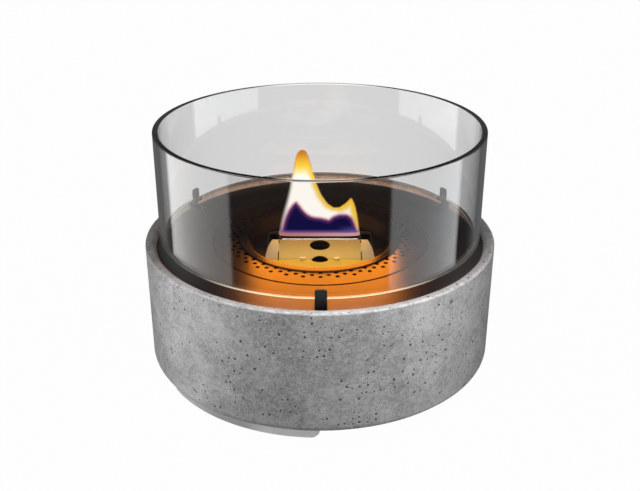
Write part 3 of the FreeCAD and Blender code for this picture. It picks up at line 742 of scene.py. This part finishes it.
# %% Steel and fibre finishes
# the first three colours are painted reflection on the cover; the colour underneath and the fold line below
# are painted shade
RIDGE_REFLECTION_TAN = (0.50, 0.36, 0.18, 1.0)
WING_REFLECTION_TAN = (0.86, 0.70, 0.47, 1.0)
FLANGE_REFLECTION_GOLD = (1.0, 0.76, 0.16, 1.0)
COVER_FALL = 0.463
COVER_SKIN = 0.12395
COVER_FOLD = 0.031
COVER_UNDER_SHADE = (0.06, 0.04, 0.025, 1.0)
UNDER_GLOW = (0.022, 0.013, 0.009, 1.0)
SOOT = (0.012, 0.011, 0.010, 1.0)
FOLD_SHADE_LINE = (0.22, 0.14, 0.05, 1.0)
OVAL_END = 0.0385
LIP_INSIDE = 0.0085
FIBRE_DARK = (0.42, 0.40, 0.36, 1.0)
FIBRE_PALE = (0.82, 0.80, 0.75, 1.0)
CHAR = (0.03, 0.028, 0.026, 1.0)
CHAR_DEPTH = 0.006


def cover_upper(finish):
    """1 on the upper sides of the cover's slopes and 0 underneath. An upper side is the plane
    height + fall * depth = skin."""
    _, deep, height = finish.axes()
    return finish.fade(height + abs(deep) * COVER_FALL, COVER_SKIN - 0.0001, COVER_SKIN + 0.0001)


def cover_light_and_shade(finish, colour):
    """Painted light and shade on the cover: painted reflection that is browner up at its ridge, paler on
    the wings beyond the slot and yellow on the front flange, painted shade on the rear flange and
    underneath, and a fine line of painted shade along each fold."""
    across, deep, _ = finish.axes()
    out, back = abs(across), abs(deep)
    # painted reflection on the slopes, wings and front flange, and painted shade on the rear flange,
    # underneath and along the folds
    tone = finish.mix(finish.fade(back, 0.008, 0.030), RIDGE_REFLECTION_TAN, colour)
    tone = finish.layered(tone, ((out, OVAL_END - 0.0004, OVAL_END + 0.0004, WING_REFLECTION_TAN),
                                 (deep * -1, COVER_FOLD, COVER_FOLD + 0.0006, FLANGE_REFLECTION_GOLD),
                                 (deep, COVER_FOLD, COVER_FOLD + 0.0006, COVER_UNDER_SHADE)))
    fold_shade = 1 - finish.fade(abs(back - COVER_FOLD), 0.0001, 0.0006)
    tone = finish.mix(fold_shade * 0.5, tone, FOLD_SHADE_LINE)
    return finish.mix(cover_upper(finish), COVER_UNDER_SHADE, tone)


def sooted(finish, colour):
    """Bright on the outside of the lip, and black with soot inside the flame slot."""
    back = abs(finish.axes()[1])
    return finish.mix(finish.fade(back, LIP_INSIDE - 0.0001, LIP_INSIDE + 0.0001), SOOT, colour)


def steel(name, colour, gloss, stain, metallic=1.0, soot_and_painted_light=None, under=None):
    """Brushed steel with cloudy stains; soot_and_painted_light is a further change of its colour, soot on
    the collar and painted light and shade on the cover, and under is the light that the dish throws back
    onto the underside of the cover."""
    finish = new_finish(name)
    brush = finish.noise(finish.place((1, 30, 30)), 0.012, 4.0, 0.6)
    cloud = finish.noise(finish.place(), 0.02, 3.0)
    tone = finish.mix(cloud * 0.6 + brush * 0.4, stain, colour)
    tone = soot_and_painted_light(finish, tone) if soot_and_painted_light else tone
    inputs = {"Base Color": tone, "Metallic": metallic, "Roughness": gloss + brush * 0.14,
              "Normal": finish.bump(brush, 0.00002)}
    if under:
        inputs["Emission Color"] = finish.mix(cover_upper(finish), under, grey(0))
        inputs["Emission Strength"] = 1.0
    finish.surface(inputs)
    return finish


def woven(name, charred_top=None):
    """Woven fibre whose strands lie level, charred towards a top height where one is given."""
    finish = new_finish(name)
    strand = finish.noise(finish.place((1, 1, 9)), 0.0016, 4.0, 0.6)
    tone = finish.mix(strand, FIBRE_DARK, FIBRE_PALE)
    if charred_top:
        burnt = finish.fade(finish.axes()[2] + strand * 0.003, charred_top - CHAR_DEPTH, charred_top)
        tone = finish.mix(burnt, tone, CHAR)
    finish.surface({"Base Color": tone, "Roughness": 0.95, "Normal": finish.bump(strand, 0.0004)})
    return finish


print("steel and fibre helpers ready")

# %% [markdown]
# ## The burner's parts
# Each steel has its colour, the colour of its stains and its gloss. The cover is gold, the collar bright
# with soot inside, the tank plain, and the holder of the wick is browned by the heat. The filling of the
# tank is pale fibre.

# %% Burner parts
burner_steel = steel("burner_steel", (0.66, 0.64, 0.61, 1.0), 0.26, (0.52, 0.50, 0.47, 1.0))
cover_steel = steel("cover_steel", (0.98, 0.80, 0.36, 1.0), 0.34, (0.88, 0.68, 0.26, 1.0), 1.0, cover_light_and_shade,
                    UNDER_GLOW)
collar_steel = steel("collar_steel", (0.90, 0.88, 0.84, 1.0), 0.42, (0.76, 0.74, 0.70, 1.0), 0.25, sooted)
screw_steel = steel("screw_steel", (0.60, 0.60, 0.60, 1.0), 0.25, (0.45, 0.45, 0.46, 1.0))
holder_steel = steel("holder_steel", (0.085, 0.055, 0.038, 1.0), 0.55, (0.06, 0.040, 0.028, 1.0), 0.0)
dress(nodes["burner_cover"], cover_steel)
dress(nodes["slot_collar"], collar_steel)
dress(nodes["wick_holder"], holder_steel)
dress(nodes["fuel_tank"], burner_steel)
dress(nodes["clip_nuts"], screw_steel)
dress(nodes["fibre_core"], woven("fibre"))
print("steel and fibre dressed")

# %% [markdown]
# ## Screws
# Every screw is a turned pin with a round head and a six-sided socket for a key. CAD keeps a plain pin;
# here the head gets its broken edge and its socket. The wall of a six-sided hole lies a / cos(t) from
# the middle, where a is half its width and t the angle from the middle of the nearest flat.

# %% Screws
SCREW_COLUMNS = 48
SCREW_EDGE = 0.35
SOCKET_WIDTH = 0.5
SOCKET_DEPTH = 0.6
CLIP_ANGLES = (-89.7, 30.3, 150.3)
TANK_ANGLES = (30, 90, 150, 210, 270, 330)
EAR_ANGLES = (0, 180)


def socket_screw(place, facing, head, shank):
    """One screw in millimetres. The head sits on the place and looks up (1) or down (-1); head and shank
    are each (radius, length). Rows run from the tip of the shank to the floor of the socket."""
    (head_radius, head_height), (shank_radius, shank_length) = head, shank
    angles = full_turn(SCREW_COLUMNS)
    from_flat = (angles + math.pi / 6) % (math.pi / 3) - math.pi / 6
    socket = SOCKET_WIDTH * head_radius / np.cos(from_flat)
    socket_floor = head_height * (1 - SOCKET_DEPTH)
    rows = [(0, -shank_length), (shank_radius - SCREW_EDGE, -shank_length),
            (shank_radius, SCREW_EDGE - shank_length), (shank_radius, 0), (head_radius, 0),
            (head_radius, head_height - SCREW_EDGE), (head_radius - SCREW_EDGE, head_height),
            (socket, head_height), (socket, socket_floor), (0, socket_floor)]
    radius = np.stack([row[0] + 0 * angles for row in rows])
    level = np.stack([row[1] + 0 * angles for row in rows])
    shape = [radius * np.cos(angles), facing * radius * np.sin(angles), facing * level]
    return np.stack(shape, axis=-1) + np.array(place)


def screw_group(name, node, body, seat, facing, radii, circle, degrees, finish):
    """All screws of one CAD node, at the given degrees on a circle, in millimetres. The radii are those of
    head and shank. The lengths come from the box of that node."""
    low, top = (corner[2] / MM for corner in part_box(node))
    above, below = top - seat, seat - low
    head_height, shank_length = (above, below) if facing > 0 else (below, above)
    places = [(circle * math.cos(math.radians(a)), circle * math.sin(math.radians(a)), seat) for a in degrees]
    head, shank = (radii[0], head_height), (radii[1], shank_length)
    group = new_piece(name, [socket_screw(p, facing, head, shank) * MM for p in places], close_rows=False)
    merge_poles(group)
    stand_for(group, (node,), body, finish)
    return group


screw_group("clip_socket_screws", "clip_screws", "bowl", seat=120.8, facing=1, radii=(3.5, 2.0),
            circle=139.0, degrees=CLIP_ANGLES, finish=black_enamel)
screw_group("tank_socket_screws", "tank_screws", "burner", seat=105.4, facing=-1, radii=(2.75, 1.5),
            circle=48.0, degrees=TANK_ANGLES, finish=screw_steel)
ear_screws = screw_group("holder_socket_screws", "holder_screws", "burner", seat=110.0, facing=1,
                         radii=(2.75, 1.5), circle=45.6, degrees=EAR_ANGLES, finish=holder_steel)

# %% [markdown]
# ## The wick
# The wick is a flat pad of woven glass fibre. Its plan is a rounded oblong, |x / a| to the power n plus
# |y / b| to the power n equal to 1, with shallow ribs for the strands. Its top edge is soft, and the
# flame has charred it.

# %% Wick
WICK_COLUMNS = 240
WICK_POWER = 7.0
WICK_RIBS = 44
RIB_DEPTH = 0.02
WICK_SOFT = 1.2
WICK_HELD = 4

low, top = (np.array(corner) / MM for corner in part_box("wick"))
half = (top - low) / 2
angle = full_turn(WICK_COLUMNS)
sides = np.stack([np.cos(angle), np.sin(angle)])
rim = np.sign(sides) * np.abs(sides) ** (2 / WICK_POWER)
ribbed = rim * half[:2, None] * (1 - RIB_DEPTH * (0.5 + 0.5 * np.cos(WICK_RIBS * angle)))
soften = np.linspace(0, math.pi / 2, 5)
inset = np.concatenate([[half[1], 0, 0], WICK_SOFT * (1 - np.cos(soften)), [half[1]]])
soft_level = top[2] - WICK_SOFT * (1 - np.sin(soften))
level = np.concatenate([[low[2], low[2], low[2] + WICK_HELD], soft_level, [top[2]]])
shrink = 1 - inset[:, None] / half[:2]
pad = np.stack([ribbed[0] * shrink[:, :1], ribbed[1] * shrink[:, 1:], level[:, None] + 0 * angle], axis=-1)
wick = new_piece("wick_pad", [pad * MM], close_rows=False)
merge_poles(wick)
stand_for(wick, ("wick",), "burner", woven("charred_fibre", top[2] * MM))

# %% [markdown]
# ## The glass
# A thick, slightly grey cylinder, open at both ends, with polished edges. Its wall is a closed profile
# turned round the axis. The grey comes from absorption inside the wall, so it deepens by itself where
# we look along the wall, at the two sides and in the rim. The polished edges carry a little light of
# their own: warm lines at the front of the foot and pale ones in the rim, at the front and the back.

# %% Glass
GLASS_COLUMNS = 360
GLASS_WALL = 5.0
GLASS_EDGE = 0.8
FOOT_BAND = 2.2
RIM_WINDOW = (0.968, 0.988)
BACK_WINDOW = (0.88, 0.97)
FOOT_WINDOW = (0.76, 0.95)
CLOSE = 0.05
GLASS_STEP = 20.0
SIDE_RIM = 0.035
OUTER_RIM = 0.10
FRONT_RIM = 0.16
INNER_LINE = 0.60
OUTER_LINE = 0.12
BACK_LINE = 0.40
FOOT_DIM = 0.05
RIM_LINE = 1.7
GLASS_ABSORBS = 34.0
GLASS_TINT = (0.02, 0.03, 0.03, 1.0)
EDGE_LIGHT = (1.0, 0.86, 0.60, 1.0)
RIM_LIGHT = (1.0, 0.93, 0.88, 1.0)

glass = new_finish("clear_glass")
rim_glow = glass.mix(glass.attribute("rim_light"), grey(0.0), RIM_LIGHT)
output = glass.surface({"Base Color": grey(1.0), "Roughness": 0.0, "IOR": 1.5, "Transmission Weight": 1.0,
                        "Emission Color": glass.mix(glass.attribute("edge_light"), rim_glow, EDGE_LIGHT),
                        "Emission Strength": 1.0})
smoke = glass.node("VolumeAbsorption", None, {"Color": GLASS_TINT, "Density": GLASS_ABSORBS})
glass.tree.links.new(smoke.outputs[0], output.inputs["Volume"])
low, top = (np.array(corner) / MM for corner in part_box("glass_cylinder"))
inner = top[0] - GLASS_WALL
profile = rounded([(inner, low[2], GLASS_EDGE), (top[0], low[2], GLASS_EDGE), (top[0], low[2] + FOOT_BAND, 0),
                   (top[0], top[2], GLASS_EDGE), (inner + RIM_LINE + 0.5, top[2], 0),
                   (inner + RIM_LINE, top[2], 0), (inner, top[2], GLASS_EDGE)], 4)
profile = divided(profile, GLASS_STEP)
wall = new_piece("glass_wall", [turned(profile, GLASS_COLUMNS) * MM], crease=60)
toward_front = -np.sin(full_turn(GLASS_COLUMNS))
outer = profile[:, 0:1] > top[0] - GLASS_EDGE + CLOSE
inner_edge = profile[:, 0:1] < inner + RIM_LINE + CLOSE
at_foot = outer & (profile[:, 1:2] < low[2] + GLASS_EDGE + GUARD + CLOSE)
at_top = profile[:, 1:2] > top[2] - GLASS_EDGE + CLOSE
in_window = ramp(toward_front, RIM_WINDOW)
to_front = np.clip(toward_front, 0, 1)
plain_rim = SIDE_RIM * (1 - to_front) * ~outer + OUTER_RIM * outer * np.clip(1.5 * to_front, 0, 1)
front_lines = FRONT_RIM + INNER_LINE * inner_edge + OUTER_LINE * outer
rim_lines = plain_rim + (front_lines - plain_rim) * in_window
mark(wall, "rim_light", at_top * (rim_lines + BACK_LINE * ramp(-toward_front, BACK_WINDOW)))
mark(wall, "edge_light", at_foot * (FOOT_DIM + (1 - FOOT_DIM) * ramp(toward_front, FOOT_WINDOW)))
stand_for(wall, ("glass_cylinder",), "glass", glass)

# %% [markdown]
# ## The flame
# The flame is a thin wide sheet of burning gas over the slot: a tall tongue at the left, a low saddle and
# a short tongue at the right. Each upright column of it is half an ellipse, as wide as the slot at its
# foot and as high as the outline there, in millimetres.

# %% Flame sheet
FLAME_PLACES = (-39, -37.6, -35.2, -32.4, -29.7, -24.6, -22.6, -20, -16, -12.5, -10.6, -8.5, -4, 2, 8, 13,
                18, 24, 28, 30, 33, 35, 36.5, 38)
FLAME_HEIGHTS = (2, 14, 24, 34, 46, 67, 79, 84, 85.5, 84, 80, 73, 55, 40, 31, 27.5, 28, 33, 38, 39, 33, 25,
                 15, 2)
FLAME_FOOT = 121.3
FLAME_HALF_DEPTH = 4.2
FLAME_COLUMNS = 260
FLAME_RING = 56
SMOOTHING = 9
END_PINCH = 0.97
END_POWER = 8
SWAY = {"reach": 2.2, "wave": 0.11, "start": 0.8}

across = np.linspace(FLAME_PLACES[0], FLAME_PLACES[-1], FLAME_COLUMNS)
window = np.hanning(SMOOTHING + 2)[1:-1]


def smooth_line(places, heights):
    """The heights between the given places, straight first and then rounded by a sliding average."""
    line = np.interp(across, places, heights)
    padded = np.pad(line, SMOOTHING // 2, mode="edge")
    return np.convolve(padded, window / window.sum(), mode="valid")


height = smooth_line(FLAME_PLACES, FLAME_HEIGHTS)
from_end = 2 * np.linspace(0, 1, FLAME_COLUMNS) - 1
depth = FLAME_HALF_DEPTH * np.sqrt(1 - END_PINCH * from_end ** END_POWER)
around = full_turn(FLAME_RING)[:, None]
lift = np.maximum(np.sin(around), 0)
rise = height * lift
sway = SWAY["reach"] * np.sin(across * SWAY["wave"] + SWAY["start"]) * lift ** 2
sheet = np.stack([across + 0 * around, sway - depth * np.cos(around), FLAME_FOOT + rise], axis=-1)
flame = new_piece("flame", [sheet * MM], close_rows=True, close_columns=False, crease=180)
print("flame", len(flame.data.polygons), "faces")

# %% [markdown]
# ## Where the flame changes colour
# Each point is marked with its distance inside the outline, its height, its distance inside the dark core
# and how far it lies towards the warm right-hand edge. The finish turns those numbers into colour.

# %% Flame marks
WARM_PLACES = (-40, -5, 6, 14, 24, 30, 40)
WARM_DEPTHS = (8.0, 8.5, 7.5, 5.5, 10.0, 12.0, 6.0)
CORE_PLACES = (-36.5, -34.8, -32, -28, -22.5, -19, -16, -10, -4.5, 1.3, 8.7, 12.7, 18.4, 25, 29.7, 32.6,
               34.4, 36)
CORE_HEIGHTS = (0, 8, 18.5, 27.5, 34.5, 30, 25, 20, 18.5, 17.6, 15.4, 18.6, 20.8, 21.3, 18.6, 11.5, 5.8, 0)
RIGHT_BLEND = 3.0
RIGHT_FROM = 8.0

core_height = smooth_line(CORE_PLACES, CORE_HEIGHTS)
edge_line = np.stack([across, height], -1)
flat = np.stack([across + 0 * around, rise], -1).reshape(-1, 2)
gaps = flat[:, None] - edge_line[None]
distance = np.linalg.norm(gaps, axis=-1)
nearest = distance.argmin(1)
to_edge = -gaps[np.arange(len(flat)), nearest, 0]
warm_depth = np.interp(flat[:, 0], WARM_PLACES, WARM_DEPTHS)
faces_right = np.clip(0.5 + to_edge / RIGHT_BLEND, 0, 1)
at_right = np.maximum(faces_right, np.clip(flat[:, 0] / RIGHT_FROM, 0, 1))
mark(flame, "inside", distance.min(1))
mark(flame, "warmth", np.clip(1 - distance.min(1) / warm_depth, 0, 1) * at_right)
mark(flame, "rise", flat[:, 1])
core_line = np.stack([across, core_height], -1)[(across > CORE_PLACES[0]) & (across < CORE_PLACES[-1])]
core_gap = np.linalg.norm(flat[:, None] - core_line[None], axis=-1).min(1)
mark(flame, "core", core_gap * np.sign((core_height + 0 * around).ravel() - flat[:, 1]))
mark(flame, "left_edge", 1 - at_right)
print("flame marked at", len(flat), "points")

# %% [markdown]
# ## Colours of the flame
# White in the body, yellow and orange towards the warm edge and the tip, pink and purple round a navy
# core, and a pink line along the foot. It thins out at its edge, and it neither lights nor shades
# anything itself.

# %% Flame colours
FLAME_STRENGTH = 1.25
FLAME_WHITE = (1.0, 0.95, 0.87, 1.0)
FLAME_PALE = (0.42, 0.40, 0.42, 1.0)
FLAME_YELLOW = (0.86, 0.54, 0.045, 1.0)
FLAME_ORANGE = (0.55, 0.20, 0.015, 1.0)
FLAME_TIP = (0.44, 0.12, 0.012, 1.0)
FLAME_PINK = (0.55, 0.24, 0.32, 1.0)
FLAME_PURPLE = (0.09, 0.02, 0.11, 1.0)
FLAME_NAVY = (0.005, 0.003, 0.045, 1.0)
FLAME_BLUE = (0.06, 0.06, 0.28, 1.0)
FLAME_VIOLET = (0.16, 0.08, 0.28, 1.0)
FOOT_LEFT = (0.46, 0.18, 0.15, 1.0)
FOOT_RIGHT = (0.62, 0.30, 0.30, 1.0)

burning = new_finish("flame")
names = ("inside", "rise", "core", "warmth", "left_edge")
inside, rise_here, core, warmth, left = (burning.attribute(name) for name in names)
along = burning.axes()[0]
pale = burning.mix(burning.fade(inside, 0.0, 4.5), FLAME_PALE, FLAME_WHITE)
upper = burning.layered(FLAME_ORANGE, ((inside, 0.2, 2.4, FLAME_YELLOW), (rise_here, 66.0, 87.0, FLAME_TIP)))
low_right = burning.fade(along, 0.012, 0.036) * (1 - burning.fade(rise_here, 5.0, 12.0))
navy = burning.mix(low_right, FLAME_NAVY, FLAME_BLUE)
body = burning.layered(burning.mix(left, FLAME_WHITE, pale), (
    (warmth, 0.10, 0.80, FLAME_YELLOW), (warmth, 0.82, 1.0, FLAME_ORANGE), (rise_here, 54.0, 71.0, upper),
    (core, -3.6, 0.2, FLAME_PINK), (core, -1.6, 1.2, FLAME_PURPLE), (core, 0.2, 4.2, navy)))
body = burning.layered(FOOT_LEFT, ((along, -0.034, 0.030, FOOT_RIGHT), (rise_here, 2.2, 4.6, FLAME_VIOLET),
                                   (rise_here, 3.2, 7.4, body)))
grounded = 1 - burning.fade(rise_here, 0.0, 6.0)
soft = 2.2 + left * (1 - burning.fade(rise_here, 42.0, 60.0)) * 3.0
burning.surface({"Base Color": grey(0.0), "Roughness": 1.0, "Specular IOR Level": 0.0,
                 "Emission Color": body, "Emission Strength": FLAME_STRENGTH,
                 "Alpha": burning.fade(inside / soft + grounded, 0.0, 1.0)})
dress(flame, burning)
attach(flame, "burner")
for ray in ("diffuse", "glossy", "shadow"):
    setattr(flame, "visible_" + ray, False)
print("flame dressed")

# %% [markdown]
# ## Light of the flame
# What we see of the flame is no brighter than the paper, so its light comes from warm lamps inside it, in
# pairs back to back: one pair each for the deck, the dish, the cover and the rest. None lights the glass,
# which would mirror it as a bright square. Small lamps pick out the cover, the collar and the tabs.

# %% Flame lamps
DECK_LIGHT = (1.0, 0.27, 0.015)
COVER_LIGHT = (1.0, 0.60, 0.16)
RIM_LIGHT_BACK = (1.0, 0.42, 0.14)
DECK_PIECES = ("deck_plate", "vent_ring")
SLOT_PIECES = ("burner_cover", "slot_collar", "wick_holder")
WHITE_LIGHT = (1.0, 1.0, 1.0)
PALE_LIGHT = (1.0, 0.80, 0.52)
MIDDLE = (0, 0, 156)
UPRIGHT = math.pi / 2
TO_FRONT, TO_BACK = (UPRIGHT, 0, math.pi), (UPRIGHT, 0, 0)


def add_lamp(name, place, turn, size, power, colour, lit):
    """A flat lamp, its place and size in millimetres, that lights only the given objects."""
    data = bpy.data.lights.new(name, "AREA")
    data.shape = "RECTANGLE"
    data.size, data.size_y = (side * MM for side in size)
    data.energy = power
    data.color = colour
    lamp = bpy.data.objects.new(name, data)
    lamp.location = [part * MM for part in place]
    lamp.rotation_euler = turn
    receivers = bpy.data.collections.new(name + "_lights")
    for piece in lit:
        receivers.objects.link(piece)
    lamp.light_linking.receiver_collection = receivers
    scene.collection.objects.link(lamp)


slot_pieces = [nodes[name] for name in SLOT_PIECES] + [wick, ear_screws]
deck_pieces = [nodes[name] for name in DECK_PIECES]
dish = [nodes["burner_dish"]]
other_pieces = [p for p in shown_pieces() if p not in slot_pieces + deck_pieces + dish + [wall, flame]]
add_lamp("deck_front", (4, 0, 156), TO_FRONT, (140, 62), 0.66, DECK_LIGHT, deck_pieces)
add_lamp("deck_back", MIDDLE, TO_BACK, (120, 62), 0.26, DECK_LIGHT, deck_pieces)
add_lamp("dish_front", MIDDLE, TO_FRONT, (104, 62), 0.46, DECK_LIGHT, dish)
add_lamp("dish_back", MIDDLE, TO_BACK, (76, 62), 0.16, DECK_LIGHT, dish)
add_lamp("rim_front", MIDDLE, TO_FRONT, (76, 62), 0.08, DECK_LIGHT, other_pieces)
add_lamp("rim_back", MIDDLE, TO_BACK, (76, 62), 0.20, RIM_LIGHT_BACK, other_pieces)
add_lamp("cover_front", MIDDLE, TO_FRONT, (100, 62), 0.0195, COVER_LIGHT, slot_pieces)
add_lamp("cover_back", MIDDLE, TO_BACK, (76, 62), 0.012, COVER_LIGHT, slot_pieces)
add_lamp("cover_above", (0, 0, 260), (0, 0, 0), (120, 50), 0.015, COVER_LIGHT, slot_pieces)
add_lamp("collar_light", (0, -120, 230), (0.80, 0, 0), (80, 30), 0.32, WHITE_LIGHT, [nodes["slot_collar"]])
add_lamp("tab_light", (0, -62, 140), (0.80, 0, 0), (50, 8), 0.014, PALE_LIGHT, dish)

# %% [markdown]
# ## Lamps on the concrete
# The bowl is brightest where a soft lamp stood close to it at the front left, and again at the front
# right, and it darkens quickly beyond both. The flat rim is bright at the front only, under a third
# lamp. Lamps that are close fall off in that way, which a far panel can't do. Smaller ones light the deck
# in the gap under the glass, the feet, and the foot of the bowl at the left.

# %% Concrete lamps
NEAR_LAMPS = (("near_left", -47.0, 300.0, 0.235), ("near_right", 35.0, 335.0, 0.28))
LAMP_LEVEL = 140.0
LAMP_SIZE = (90, 220)
RIM_LAMP = {"place": (30, -215, 400), "turn": (0.20, 0, 0), "size": (150, 100), "power": 1.0}
GAP_LAMP = {"place": (0, -260, 174), "turn": (1.1, 0, 0), "size": (240, 24), "power": 0.20}
FOOT_LAMP = {"place": (-60, -420, 45), "turn": (UPRIGHT, 0, -0.1), "size": (120, 60), "power": 0.33}
LOW_LAMP = {"place": (-240, -200, 15), "turn": (UPRIGHT, 0, -0.87), "size": (90, 40), "power": 0.035}
feet = [nodes["foot_pad_" + side] for side in FOOT_SIDES]
stone_pieces = [bowl, nodes["deck_plate"]] + feet
for name, angle, distance, power in NEAR_LAMPS:
    turn = math.radians(angle)
    stand = (distance * math.sin(turn), -distance * math.cos(turn), LAMP_LEVEL)
    add_lamp(name, stand, (UPRIGHT, 0, turn), LAMP_SIZE, power, WHITE_LIGHT, stone_pieces)
clip_pieces = [nodes["glass_clip_" + side] for side in CLIP_SIDES]
add_lamp("near_rim", colour=WHITE_LIGHT, lit=stone_pieces + clip_pieces, **RIM_LAMP)
add_lamp("near_gap", colour=WHITE_LIGHT, lit=[nodes["deck_plate"]], **GAP_LAMP)
add_lamp("near_feet", colour=WHITE_LIGHT, lit=feet, **FOOT_LAMP)
add_lamp("near_low", colour=WHITE_LIGHT, lit=[bowl], **LOW_LAMP)
